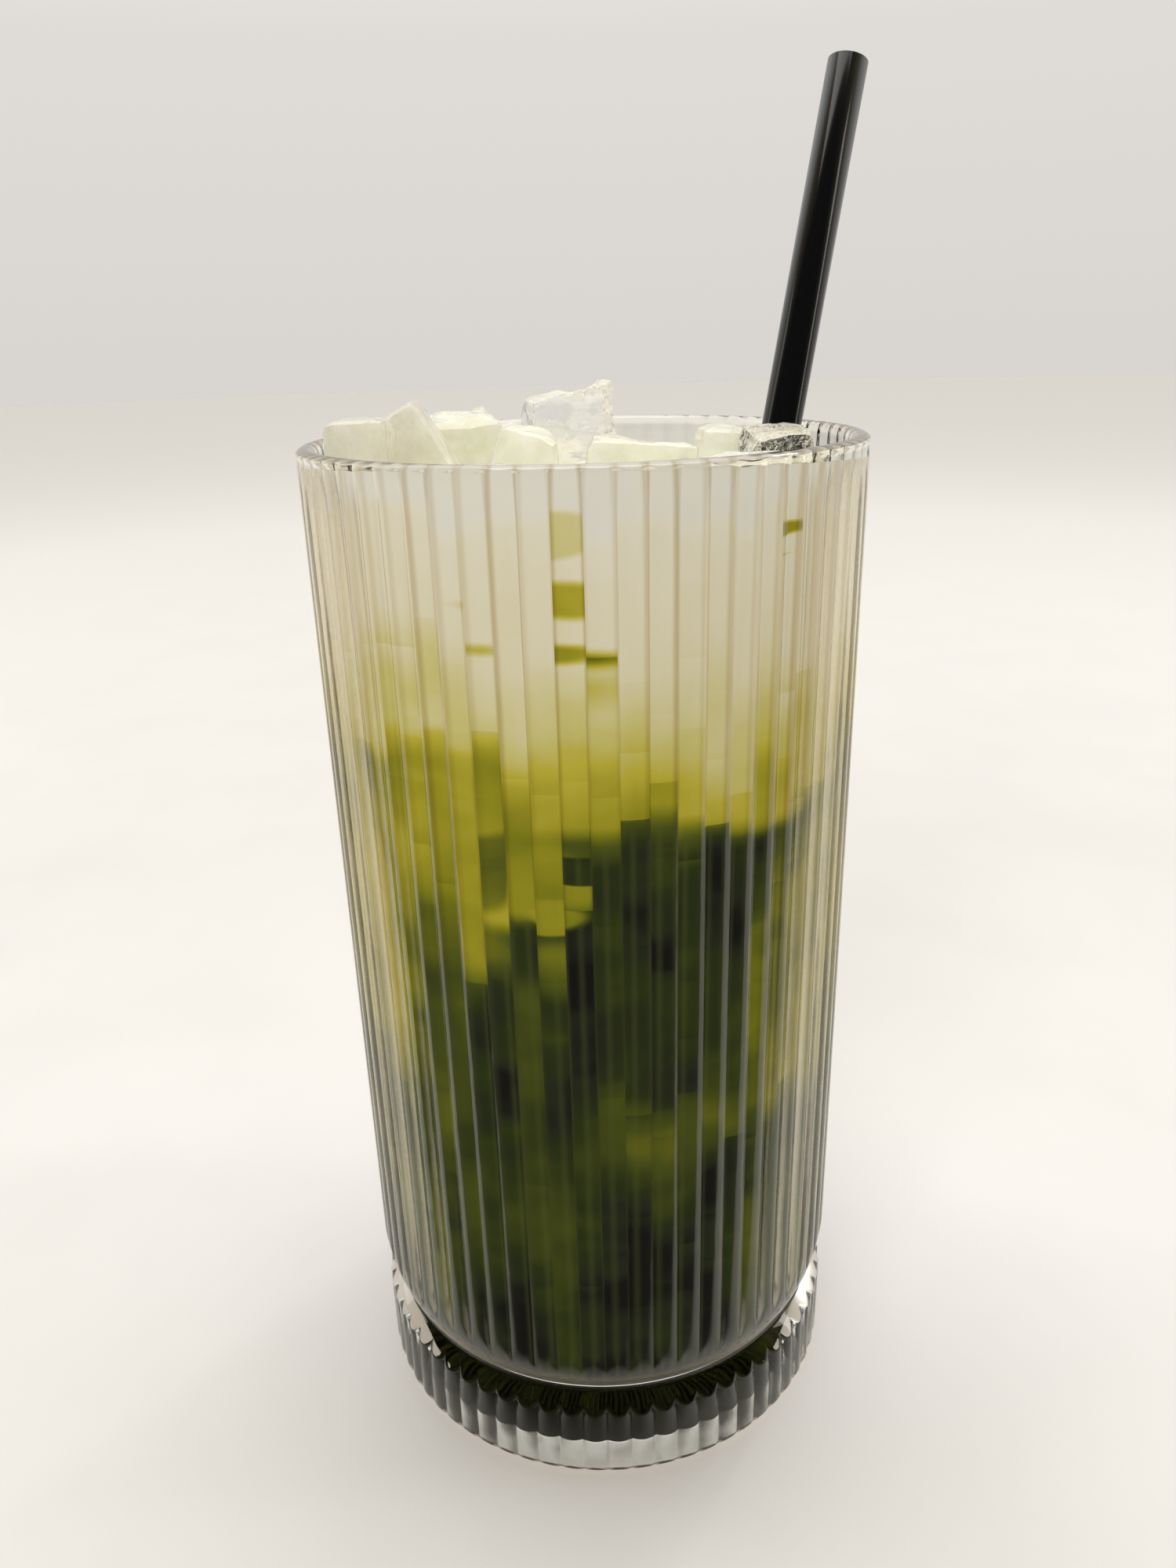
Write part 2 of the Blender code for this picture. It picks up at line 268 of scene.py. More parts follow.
def add(tree, kind, inputs=None, stops=(), **settings):
    """A new node with its settings. An input takes a value or another node's output, and a colour ramp takes
    its stops as (position, hex) pairs."""
    made = tree.nodes.new(kind)
    for name, value in settings.items():
        setattr(made, name, value)
    for socket, value in (inputs or {}).items():
        if isinstance(value, bpy.types.NodeSocket):
            tree.links.new(value, made.inputs[socket])
        else:
            made.inputs[socket].default_value = value
    if stops:
        elements = made.color_ramp.elements
        while len(elements) < len(stops):
            elements.new(0.5)
        for element, (position, code) in zip(elements, stops):
            element.position = position
            element.color = colour(code)
    return made


def new_material(name, **values):
    """A material with its shader, whose plain values are set by name with spaces as underscores."""
    material = bpy.data.materials.new(name)
    material.use_nodes = True
    tree = material.node_tree
    shader = tree.nodes["Principled BSDF"]
    for key, value in values.items():
        shader.inputs[key.replace("_", " ")].default_value = value
    return material, tree, shader


def millimetres(tree):
    """The place on the piece, in millimetres from the frame's origin."""
    place = add(tree, "ShaderNodeTexCoord").outputs["Object"]
    return add(tree, "ShaderNodeVectorMath", {0: place, "Scale": 1 / MM}, operation="SCALE").outputs[0]


def let_lamps_through(tree, shader, face_on, edge_on, foot=None):
    """Lets the light of lamps pass the clear piece unbent, less of it where it meets the surface at a slant.
    The foot of the glass can have a tint of its own."""
    path = add(tree, "ShaderNodeLightPath")
    passes = add(
        tree, "ShaderNodeMath",
        {0: path.outputs["Is Shadow Ray"], 1: path.outputs["Is Diffuse Ray"]}, operation="MAXIMUM",
    )
    slant = add(tree, "ShaderNodeLayerWeight", {"Blend": 0.5})
    tint = add(
        tree, "ShaderNodeValToRGB", {0: slant.outputs["Facing"]}, ((FACE_ON, face_on), (EDGE_ON, edge_on))
    ).outputs[0]
    if foot:
        height = add(tree, "ShaderNodeSeparateXYZ", {0: millimetres(tree)}).outputs["Z"]
        body = add(
            tree, "ShaderNodeMapRange", {"Value": height, "From Min": SHOULDER_BOTTOM, "From Max": HEEL_EDGE}
        )
        tint = add(
            tree, "ShaderNodeMix", {0: body.outputs[0], 6: colour(foot), 7: tint}, data_type="RGBA"
        ).outputs[2]
    clear = add(tree, "ShaderNodeBsdfTransparent", {"Color": tint})
    mixed = add(
        tree, "ShaderNodeMixShader", {0: passes.outputs[0], 1: shader.outputs[0], 2: clear.outputs[0]}
    )
    tree.links.new(mixed.outputs[0], tree.nodes["Material Output"].inputs["Surface"])


def pressed_glass():
    """Soda-lime glass, pressed in a mould and fire polished: clear, very smooth, with a faint waviness. The
    slope under the foot is ground, so it scatters what is seen through it."""
    material, tree, shader = new_material(
        "pressed_soda_lime_glass", Base_Color=colour("#f4f4ef"), IOR=GLASS_IOR, Transmission_Weight=1.0
    )
    place = millimetres(tree)
    parts = add(tree, "ShaderNodeSeparateXYZ", {0: place})
    flat = add(tree, "ShaderNodeCombineXYZ", {"X": parts.outputs["X"], "Y": parts.outputs["Y"]})
    radius = add(tree, "ShaderNodeVectorMath", {0: flat.outputs[0]}, operation="LENGTH").outputs["Value"]
    inside = add(
        tree, "ShaderNodeMapRange",
        {
            "Value": radius,
            "From Min": FOOT_RING_INNER + GROUND_MARGIN,
            "From Max": FOOT_RING_INNER,
            "To Max": GROUND_ROUGHNESS,
        },
    )
    low = add(
        tree, "ShaderNodeMapRange",
        {"Value": parts.outputs["Z"], "From Min": RECESS_DEPTH, "From Max": RECESS_DEPTH - GROUND_FADE},
    )
    rough = add(tree, "ShaderNodeMath", {0: inside.outputs[0], 1: low.outputs[0]}, operation="MULTIPLY")
    tree.links.new(rough.outputs[0], shader.inputs["Roughness"])
    waves = add(tree, "ShaderNodeTexNoise", {"Vector": place, "Scale": 1 / GLASS_WAVE, "Detail": 1.0})
    bump = add(tree, "ShaderNodeBump", {"Height": waves.outputs[0], "Strength": 0.25, "Distance": 0.6 * MM})
    tree.links.new(bump.outputs[0], shader.inputs["Normal"])
    let_lamps_through(tree, shader, "#fdfdfb", "#a4a49e", foot="#fffaf4")
    return material


# What the eye meets on its way down from milk to strong tea: share of tea, and colour
TEA_STRENGTH = (
    (0.0, "#e3dfd6"),
    (0.05, "#e5dfce"),
    (0.12, "#e0d8bd"),
    (0.25, "#cec583"),
    (0.38, "#bdb03c"),
    (0.50, "#a09722"),
    (0.62, "#7c7c13"),
    (0.75, "#4b5212"),
    (0.88, "#28320c"),
    (0.95, "#1f2415"),
    (1.0, "#0b0c09"),
)

# Tea by height where nothing swirls: height, share of tea
LEVELS = (
    (16.0, 1.0), (20.0, 1.0), (26.0, 0.965), (40.0, 0.95), (54.0, 0.90), (68.0, 0.86), (84.0, 0.94),
    (107.0, 0.93), (110.5, 0.72), (113.0, 0.47), (119.0, 0.36), (126.0, 0.25), (133.0, 0.14), (149.0, 0.07),
    (151.5, 0.0), (157.0, 0.0),
)

# Swirls and clouds where tea and milk haven't mixed: angle round the glass, height, half width, half height,
# share of tea, and how much of the half size is edge
SWIRLS = (
    (-148, 91, 27, 34, 0.49, 0.5),
    (-146, 44, 26, 26, 0.66, 0.6),
    (-16, 86, 22, 36, 0.52, 0.5),
    (-20, 38, 20, 24, 0.72, 0.6),
    (-118, 62, 14, 32, 0.80, 0.7),
    (-124, 34, 12, 20, 0.80, 0.8),
    (-44, 40, 12, 24, 0.82, 0.8),
    (-60, 64, 22, 8, 0.74, 1.0),
    (-94, 80, 7, 14, 0.82, 0.8),
    (-117, 111, 20, 16, 0.54, 0.45),
    (-112, 95, 10, 9, 0.58, 0.6),
    (-113, 121, 5, 4.5, 0.60, 0.5),
    (-128, 116, 5, 8, 0.62, 0.6),
    (-97, 105, 11, 8.5, 0.56, 0.35),
    (-124, 90, 7, 10, 0.60, 0.6),
    (-41, 82, 9, 28, 0.62, 0.6),
    (-42, 112, 14, 4.5, 0.42, 0.8),
    (-116, 129, 18, 10, 0.30, 1.0),
    (-101.5, 106, 1.7, 6.5, 0.74, 0.3),
    (-85, 107, 2.6, 2.0, 0.88, 0.2),
    (-90, 99, 3.4, 3.2, 0.5, 0.2),
    (-101, 73, 3.2, 7, 1.0, 0.6),
    (-105, 82, 2.4, 5, 0.95, 0.6),
    (-68, 97, 14, 11, 0.97, 0.6),
    (-85, 141.3, 2.6, 2.9, 0.41, 0.5),
    (-85.5, 151, 2.4, 3.4, 0.20, 0.3),
    (-42, 146.4, 2.4, 1.25, 0.50, 0.5),
    (-85.5, 133.6, 2.4, 1.5, 0.5, 0.7),
    (-79.5, 133.3, 2.6, 2.2, 0.76, 1.0),
    (-79.5, 129.5, 2.6, 4.0, 0.42, 1.0),
    (-101.5, 136.6, 1.9, 1.1, 0.42, 1.0),
    (-105.5, 141.8, 2.0, 1.2, 0.3, 0.9),
    (-90, 91, 2.6, 8, 0.68, 0.8),
    (-111, 89, 3.4, 14, 0.72, 0.7),
    (-118, 84, 4, 9, 0.72, 0.9),
    (-120, 101, 3, 7, 0.66, 1.0),
    (-134, 117, 4, 5, 0.66, 0.8),
    (-104, 98, 2.5, 10, 0.62, 0.8),
    (-127, 103, 3, 9, 0.64, 0.8),
)
# The broad ones come again on the far side, turned by this much
BROAD_SWIRL = 5
FAR_SIDE_TURN = 178


def mosaic_place(tree):
    """The plain place, the place as the ribs show it, the painted shade in the valleys, and the painted sheen
    lines on crests and in valleys. Each rib shows almost one angle, and its stretches of drink are moved up or
    down a little, the way ice behind the ribs breaks the layers into blocks."""
    place = millimetres(tree)
    parts = add(tree, "ShaderNodeSeparateXYZ", {0: place})
    turn = add(tree, "ShaderNodeMath", {0: parts.outputs["Y"], 1: parts.outputs["X"]}, operation="ARCTAN2")
    share = add(tree, "ShaderNodeMath", {0: turn.outputs[0], 1: RIB_COUNT / math.tau}, operation="MULTIPLY")
    rib = add(tree, "ShaderNodeMath", {0: share.outputs[0]}, operation="FLOOR").outputs[0]
    crest = add(tree, "ShaderNodeMath", {0: rib, 1: 0.5}, operation="ADD").outputs[0]
    start = add(tree, "ShaderNodeTexWhiteNoise", {"W": rib}, noise_dimensions="1D")
    level = add(
        tree, "ShaderNodeMath", {0: parts.outputs["Z"], 1: 1 / MOSAIC_HEIGHT, 2: start.outputs["Value"]},
        operation="MULTIPLY_ADD",
    )
    row = add(tree, "ShaderNodeMath", {0: level.outputs[0]}, operation="FLOOR")
    block = add(tree, "ShaderNodeCombineXYZ", {"X": rib, "Y": row.outputs[0]})
    lift = add(tree, "ShaderNodeTexWhiteNoise", {"Vector": block.outputs[0]}, noise_dimensions="3D")
    step = add(
        tree, "ShaderNodeMapRange",
        {"Value": lift.outputs["Value"], "To Min": -MOSAIC_SHIFT, "To Max": MOSAIC_SHIFT},
    )
    held = add(tree, "ShaderNodeMix", {0: RIB_SHARE, 2: crest, 3: share.outputs[0]}, data_type="FLOAT")
    angle = add(tree, "ShaderNodeMath", {0: held.outputs[0], 1: math.tau / RIB_COUNT}, operation="MULTIPLY")
    along = add(tree, "ShaderNodeMath", {0: angle.outputs[0]}, operation="COSINE")
    beside = add(tree, "ShaderNodeMath", {0: angle.outputs[0]}, operation="SINE")
    height = add(tree, "ShaderNodeMath", {0: parts.outputs["Z"], 1: step.outputs[0]}, operation="ADD")
    flat = add(tree, "ShaderNodeCombineXYZ", {"X": along.outputs[0], "Y": beside.outputs[0]})
    out = add(tree, "ShaderNodeVectorMath", {0: flat.outputs[0], "Scale": BORE_TOP_RADIUS}, operation="SCALE")
    up = add(tree, "ShaderNodeCombineXYZ", {"Z": height.outputs[0]})
    stepped = add(tree, "ShaderNodeVectorMath", {0: out.outputs[0], 1: up.outputs[0]}, operation="ADD")
    slow = add(
        tree, "ShaderNodeTexNoise", {"Vector": stepped.outputs[0], "Scale": 1 / SWIRL_SIZE, "Detail": 2.0}
    )
    centred = add(
        tree, "ShaderNodeVectorMath", {0: slow.outputs["Color"], 1: (0.5, 0.5, 0.5)}, operation="SUBTRACT"
    )
    swirl = add(
        tree, "ShaderNodeVectorMath", {0: centred.outputs[0], "Scale": SWIRL_SHIFT}, operation="SCALE"
    )
    moved = add(tree, "ShaderNodeVectorMath", {0: stepped.outputs[0], 1: swirl.outputs[0]}, operation="ADD")
    aside = add(tree, "ShaderNodeMath", {0: share.outputs[0], 1: crest}, operation="SUBTRACT")
    from_crest = add(tree, "ShaderNodeMath", {0: aside.outputs[0]}, operation="ABSOLUTE")
    # Painted shade towards each valley
    dim = add(
        tree, "ShaderNodeMapRange",
        {"Value": from_crest.outputs[0], "From Min": VALLEY_SHADE_FROM, "From Max": VALLEY_SHADE_TO},
        interpolation_type="SMOOTHSTEP",
    )
    amount = add(tree, "ShaderNodeMapRange", {"Value": start.outputs["Value"], "To Min": LEAST_VALLEY_SHADE})
    shade = add(tree, "ShaderNodeMath", {0: dim.outputs[0], 1: amount.outputs[0]}, operation="MULTIPLY")
    # Painted sheen line on each crest
    crest_sheen = add(
        tree, "ShaderNodeMapRange",
        {"Value": from_crest.outputs[0], "From Min": SHEEN_LINE_WIDTH, "From Max": 0.0, "To Max": CREST_SHEEN_SHARE},
        interpolation_type="SMOOTHSTEP",
    )
    line = add(tree, "ShaderNodeMath", {0: shade.outputs[0], 1: crest_sheen.outputs[0]}, operation="MAXIMUM")
    return place, moved.outputs[0], shade.outputs[0], line.outputs[0]


def share_by_height(tree, height):
    """Share of tea at a height, before any swirl."""
    low, high = LEVELS[0][0], LEVELS[-1][0]
    along = add(tree, "ShaderNodeMapRange", {"Value": height, "From Min": low, "From Max": high})
    curve = add(tree, "ShaderNodeFloatCurve", {"Value": along.outputs[0]})
    points = curve.mapping.curves[0].points
    while len(points) < len(LEVELS):
        points.new(0.5, 0.5)
    for point, (level, share) in zip(points, LEVELS):
        point.location = ((level - low) / (high - low), share)
        point.handle_type = "VECTOR"
    curve.mapping.update()
    return curve.outputs[0]


def with_swirl(tree, place, share, swirl, turn):
    """The share of tea, drawn towards a swirl's own share near its middle."""
    angle, height, half_width, half_height, strength, edge = swirl
    heading = math.radians(angle + turn)
    radius = BORE_TOP_RADIUS
    near = add(
        tree, "ShaderNodeMapping",
        {
            "Vector": place,
            "Location": (radius * math.cos(heading), radius * math.sin(heading), height),
            "Rotation": (0.0, 0.0, heading),
            "Scale": (radius, half_width, half_height),
        },
        vector_type="TEXTURE",
    )
    away = add(tree, "ShaderNodeVectorMath", {0: near.outputs[0]}, operation="LENGTH")
    weight = add(
        tree, "ShaderNodeMapRange",
        {"Value": away.outputs["Value"], "From Min": 1.0, "From Max": 1.0 - edge},
        interpolation_type="SMOOTHSTEP",
    )
    mixed = add(tree, "ShaderNodeMix", {0: weight.outputs[0], 2: share, 3: strength}, data_type="FLOAT")
    return mixed.outputs[0]


def tea_colour(tree):
    """Colour of the drink at each place against the glass."""
    place, moved, shade, line = mosaic_place(tree)
    height = add(tree, "ShaderNodeSeparateXYZ", {0: moved}).outputs["Z"]
    share = share_by_height(tree, height)
    for swirl in SWIRLS:
        share = with_swirl(tree, moved, share, swirl, 0)
    for swirl in SWIRLS:
        if swirl[2] >= BROAD_SWIRL:
            share = with_swirl(tree, moved, share, swirl, FAR_SIDE_TURN)
    streaks = add(
        tree, "ShaderNodeMapping",
        {"Vector": place, "Scale": (1 / STREAK_WIDTH, 1 / STREAK_WIDTH, 1 / STREAK_LENGTH)},
    )
    grain = add(tree, "ShaderNodeTexNoise", {"Vector": streaks.outputs[0], "Scale": 1.0, "Detail": 3.0})
    uneven = add(
        tree, "ShaderNodeMapRange",
        {"Value": grain.outputs[0], "To Min": -STREAK_SHARE, "To Max": STREAK_SHARE},
    )
    tall = add(tree, "ShaderNodeMapping", {"Vector": moved, "Scale": (1.0, 1.0, CLOUD_WIDTH / CLOUD_HEIGHT)})
    clouds = add(
        tree, "ShaderNodeTexNoise", {"Vector": tall.outputs[0], "Scale": 1 / CLOUD_WIDTH, "Detail": 3.0}
    )
    cloudy = add(
        tree, "ShaderNodeMapRange",
        {
            "Value": clouds.outputs[0],
            "From Min": NOISE_LOW,
            "From Max": NOISE_HIGH,
            "To Min": -CLOUD_SHARE,
            "To Max": CLOUD_SHARE,
        },
    )
    # Plain milk isn't cloudy
    mixing = add(
        tree, "ShaderNodeMapRange", {"Value": share, "From Min": PLAIN_MILK, "From Max": CLOUDY_MILK}
    )
    cloudy = add(tree, "ShaderNodeMath", {0: cloudy.outputs[0], 1: mixing.outputs[0]}, operation="MULTIPLY")
    uneven = add(tree, "ShaderNodeMath", {0: uneven.outputs[0], 1: cloudy.outputs[0]}, operation="ADD")
    total = add(tree, "ShaderNodeMath", {0: share, 1: uneven.outputs[0]}, operation="ADD", use_clamp=True)
    plain = add(tree, "ShaderNodeValToRGB", {0: total.outputs[0]}, TEA_STRENGTH)
    # Painted shade: the drink is darker behind each valley
    shaded = add(
        tree, "ShaderNodeMix", {0: shade, 6: plain.outputs[0], 7: colour(VALLEY_SHADE_COLOUR)},
        data_type="RGBA", blend_type="MULTIPLY",
    )
    # Painted sheen: strong tea takes a paler olive in a fine line on every crest and in every valley, standing
    # in for the sheen of the glass
    strong = add(
        tree, "ShaderNodeMapRange",
        {"Value": share, "From Min": SHEEN_FROM_TEA, "From Max": SHEEN_FULL_TEA, "To Max": SHEEN_SHARE},
    )
    sheen = add(tree, "ShaderNodeMath", {0: strong.outputs[0], 1: line}, operation="MULTIPLY")
    sheened = add(
        tree, "ShaderNodeMix", {0: sheen.outputs[0], 6: shaded.outputs[2], 7: colour(SHEEN_COLOUR)},
        data_type="RGBA",
    )
    return sheened.outputs[2]


def tea_in_glass():
    """Green tea and milk against the glass, with no air between. It has no gloss of its own, but where the
    eye meets its edge at a slant the glass throws back a soft pale light instead."""
    material, tree, shader = new_material(
        "iced_green_tea_in_glass", Roughness=0.8, IOR=TEA_IOR, Specular_IOR_Level=0.0
    )
    drink = tea_colour(tree)
    tree.links.new(drink, shader.inputs["Base Color"])
    edge = add(tree, "ShaderNodeFresnel", {"IOR": TEA_IOR / GLASS_IOR})
    height = add(tree, "ShaderNodeSeparateXYZ", {0: millimetres(tree)}).outputs["Z"]
    above = add(
        tree, "ShaderNodeMapRange",
        {
            "Value": height,
            "From Min": FLOOR_HEIGHT + PALE_SIDE_BOTTOM,
            "From Max": FLOOR_HEIGHT + FLOOR_CORNER,
        },
    )
    # The drink is thin at its sides, where light comes through from behind
    slant = add(tree, "ShaderNodeLayerWeight", {"Blend": 0.5})
    thin = add(
        tree, "ShaderNodeMapRange",
        {
            "Value": slant.outputs["Facing"],
            "From Min": PALE_SIDE_FROM,
            "From Max": PALE_SIDE_TO,
            "To Max": PALE_SIDE_SHARE,
        },
        interpolation_type="SMOOTHSTEP",
    )
    pale = add(tree, "ShaderNodeMath", {0: edge.outputs[0], 1: thin.outputs[0]}, operation="MAXIMUM")
    share = add(tree, "ShaderNodeMath", {0: pale.outputs[0], 1: above.outputs[0]}, operation="MULTIPLY")
    tinted = add(
        tree, "ShaderNodeMix", {0: PALE_SIDE_TEA, 6: colour(PALE_SIDE_COLOUR), 7: drink}, data_type="RGBA"
    )
    mirror = add(tree, "ShaderNodeBsdfAnisotropic", {"Color": tinted.outputs[2], "Roughness": 0.15})
    mixed = add(
        tree, "ShaderNodeMixShader", {0: share.outputs[0], 1: shader.outputs[0], 2: mirror.outputs[0]}
    )
    tree.links.new(mixed.outputs[0], tree.nodes["Material Output"].inputs["Surface"])
    return material


def milk_surface():
    """Milk and foam in the open: wet, softly glossy, with a thin stain of tea. Real bubbles are finer, and
    these are as coarse as they need to show."""
    material, tree, shader = new_material("milk_foam", Roughness=0.3, IOR=1.35)
    place = millimetres(tree)
    stain = add(
        tree, "ShaderNodeTexNoise",
        {"Vector": place, "Scale": 1 / MILK_STAIN, "Detail": 4.0, "Roughness": 0.6},
    )
    shade = add(
        tree, "ShaderNodeValToRGB", {0: stain.outputs[0]},
        ((0.3, "#e8e4d8"), (0.55, "#dfdac5"), (0.75, "#d1cc9f")),
    )
    tree.links.new(shade.outputs[0], shader.inputs["Base Color"])
    froth = add(
        tree, "ShaderNodeTexVoronoi", {"Vector": place, "Scale": 1 / FOAM_BUBBLE}, feature="SMOOTH_F1"
    )
    bump = add(
        tree, "ShaderNodeBump", {"Height": froth.outputs["Distance"], "Strength": 0.35, "Distance": 0.4 * MM}
    )
    tree.links.new(bump.outputs[0], shader.inputs["Normal"])
    return material


def cloudy_ice(name, deep, pale, clearness, dent):
    """Ice from a machine, melting in the drink: milky inside, wet and finely dented outside, stained by the
    tea."""
    material, tree, shader = new_material(
        name, Roughness=0.12, IOR=1.31, Transmission_Weight=clearness, Subsurface_Weight=0.4,
        Subsurface_Radius=(1.0, 1.0, 0.7), Subsurface_Scale=3 * MM,
    )
    place = millimetres(tree)
    cloud = add(tree, "ShaderNodeTexNoise", {"Vector": place, "Scale": 1 / ICE_CLOUD, "Detail": 4.0})
    shade = add(tree, "ShaderNodeValToRGB", {0: cloud.outputs[0]}, ((0.35, pale), (0.65, deep)))
    tree.links.new(shade.outputs[0], shader.inputs["Base Color"])
    dents = add(tree, "ShaderNodeTexNoise", {"Vector": place, "Scale": 1 / ICE_DENT, "Detail": 3.0})
    bump = add(tree, "ShaderNodeBump", {"Height": dents.outputs[0], "Strength": 0.5, "Distance": dent * MM})
    tree.links.new(bump.outputs[0], shader.inputs["Normal"])
    let_lamps_through(tree, shader, pale, deep)
    return material


def straw_plastic():
    """Polypropylene, extruded and cut: black, glossy, with faint lines along it from the die. Real lines are
    finer, and these are as coarse as they need to show."""
    material, tree, shader = new_material(
        "extruded_polypropylene", Base_Color=colour("#0d0d0e"), IOR=1.49, Specular_IOR_Level=0.3
    )
    lines = add(
        tree, "ShaderNodeMapping",
        {"Vector": millimetres(tree), "Scale": (1 / DIE_LINE, 1 / DIE_LINE, 1 / DIE_LINE_LENGTH)},
    )
    grain = add(tree, "ShaderNodeTexNoise", {"Vector": lines.outputs[0], "Scale": 1.0, "Detail": 2.0})
    rough = add(tree, "ShaderNodeMapRange", {"Value": grain.outputs[0], "To Min": 0.06, "To Max": 0.14})
    tree.links.new(rough.outputs[0], shader.inputs["Roughness"])
    bump = add(tree, "ShaderNodeBump", {"Height": grain.outputs[0], "Strength": 0.1, "Distance": 0.05 * MM})
    tree.links.new(bump.outputs[0], shader.inputs["Normal"])
    return material


def studio_floor():
    """Painted board: matt and pale, with broad, barely uneven patches in its coat. It is paler far off. Under
    the glass it has painted light, paler there for the light that the glass gathers onto it. In front of the
    glass, out of view, it is as dim in mirrored light as if someone stood there."""
    material, tree, shader = new_material("painted_board", Roughness=0.55, Specular_IOR_Level=0.2)
    place = millimetres(tree)
    coat = add(tree, "ShaderNodeTexNoise", {"Vector": place, "Scale": 1 / BOARD_COAT, "Detail": 3.0})
    shade = add(
        tree, "ShaderNodeValToRGB", {0: coat.outputs[0]}, ((NOISE_LOW, "#dfdcd8"), (NOISE_HIGH, "#dbd8d4"))
    )
    away = add(tree, "ShaderNodeVectorMath", {0: place}, operation="LENGTH").outputs["Value"]
    far = add(tree, "ShaderNodeMapRange", {"Value": away, "From Min": PALER_FROM, "From Max": PALER_TO})
    paler = add(
        tree, "ShaderNodeMix", {0: far.outputs[0], 6: shade.outputs[0], 7: colour("#fdfbf7")},
        data_type="RGBA",
    )
    # Painted light: the floor is paler under the glass, for the light the glass gathers onto it
    painted_light_mask = add(
        tree, "ShaderNodeMapRange", {"Value": away, "From Min": FOOT_RADIUS, "From Max": FOOT_RING_INNER}
    )
    lit = add(
        tree, "ShaderNodeMix", {0: painted_light_mask.outputs[0], 6: paler.outputs[2], 7: colour("#f7f4f0")},
        data_type="RGBA",
    )
    front = add(tree, "ShaderNodeSeparateXYZ", {0: place}).outputs["Y"]
    near = add(
        tree, "ShaderNodeMapRange", {"Value": front, "From Min": FLOOR_DIM_FROM, "From Max": FLOOR_DIM_TO}
    )
    path = add(tree, "ShaderNodeLightPath")
    dim = add(
        tree, "ShaderNodeMath", {0: near.outputs[0], 1: path.outputs["Is Glossy Ray"]}, operation="MULTIPLY"
    )
    dimmed = add(
        tree, "ShaderNodeMix", {0: dim.outputs[0], 6: lit.outputs[2], 7: colour("#575450")},
        data_type="RGBA",
    )
    tree.links.new(dimmed.outputs[2], shader.inputs["Base Color"])
    return material


# ---- shapes ----


def mix(low, high, share):
    """The value that lies this share of the way from low to high."""
    return low + (high - low) * share


def add_piece(name, mesh, *materials):
    piece = bpy.data.objects.new(name, mesh)
    for material in materials:
        mesh.materials.append(material)
    bpy.context.scene.collection.objects.link(piece)
    return piece


def loft(name, rings, sharp=40.0):
    """A closed solid through rings of equally many points round the axis, with its two ends filled."""
    count = len(rings[0])
    points = [(x * MM, y * MM, z * MM) for ring in rings for x, y, z in ring]
    faces = []
    for start in range(0, len(points) - count, count):
        for i in range(count):
            j = (i + 1) % count
            faces.append((start + i, start + j, start + count + j, start + count + i))
    faces.append(tuple(range(count)))
    faces.append(tuple(reversed(range(len(points) - count, len(points)))))
    mesh = bpy.data.meshes.new(name)
    mesh.from_pydata(points, [], faces)
    shape = bmesh.new()
    shape.from_mesh(mesh)
    bmesh.ops.recalc_face_normals(shape, faces=shape.faces)
    shape.to_mesh(mesh)
    shape.free()
    mesh.shade_smooth()
    mesh.set_sharp_from_angle(angle=math.radians(sharp))
    return mesh


def rib_steps():
    """Shares across a rib, closer together at the valleys than on the crest."""
    return [(1 - math.cos(math.pi * step / RIB_STEPS)) / 2 for step in range(RIB_STEPS)]


def rib_fall(across, crest, bend):
    """How far the surface lies below the crest, from valley (0) over the crest (0.5) to valley (1)."""
    pitch = math.tau * crest / RIB_COUNT

    def arc(x):
        return bend - math.sqrt(max(bend**2 - x**2, LEAST_ROOT))

    this = arc((across - 0.5) * pitch)
    beside = arc((1.5 - across if across > 0.5 else across + 0.5) * pitch)
    return (this + beside - math.hypot(this - beside, VALLEY_ROUNDING)) / 2


def ring(radius_at, height):
    """A ring of the glass, whose radius is a function of the share across a rib."""
    section = [(across, radius_at(across)) for across in rib_steps()]
    points = []
    for rib in range(RIB_COUNT):
        for across, radius in section:
            angle = math.tau * (rib + across) / RIB_COUNT
            points.append((radius * math.cos(angle), radius * math.sin(angle), height))
    return points


def ribbed_ring(turned_radius, height):
    """A ring of the ribs, trimmed by the turned form wherever that is smaller. The ribs melt away towards the
    lip and grow flatter down the foot."""
    depth = 1.0
    if height < GROOVE_HEIGHT:
        crest = FOOT_RADIUS
        share = (height - FOOT_RIB_HEIGHT) / (SHOULDER_BOTTOM - FOOT_RIB_HEIGHT)
        bend = mix(FOOT_RIB_RADIUS, SHOULDER_RIB_RADIUS, min(max(share, 0.0), 1.0))
    else:
        crest = mix(HEEL_RADIUS, LIP_RADIUS, (height - HEEL_TOP) / (GLASS_HEIGHT - HEEL_TOP))
        bend = WALL_RIB_RADIUS
        depth = mix(LIP_RIB_SHARE, 1.0, min((GLASS_HEIGHT - height) / LIP_FADE, 1.0))
    return ring(lambda across: min(crest - depth * rib_fall(across, crest, bend), turned_radius), height)


def bore_radius(height):
    share = (height - FLOOR_HEIGHT) / (GLASS_HEIGHT - FLOOR_HEIGHT)
    return mix(BORE_BOTTOM_RADIUS, BORE_TOP_RADIUS, share)


def quarter(centre, size, start, end, steps):
    """Points of an arc in radius and height, from start to end in degrees: 0 points outwards and 90 up."""
    points = []
    for i in range(steps + 1):
        angle = math.radians(mix(start, end, i / steps))
        points.append((centre[0] + size[0] * math.cos(angle), centre[1] + size[1] * math.sin(angle)))
    return points


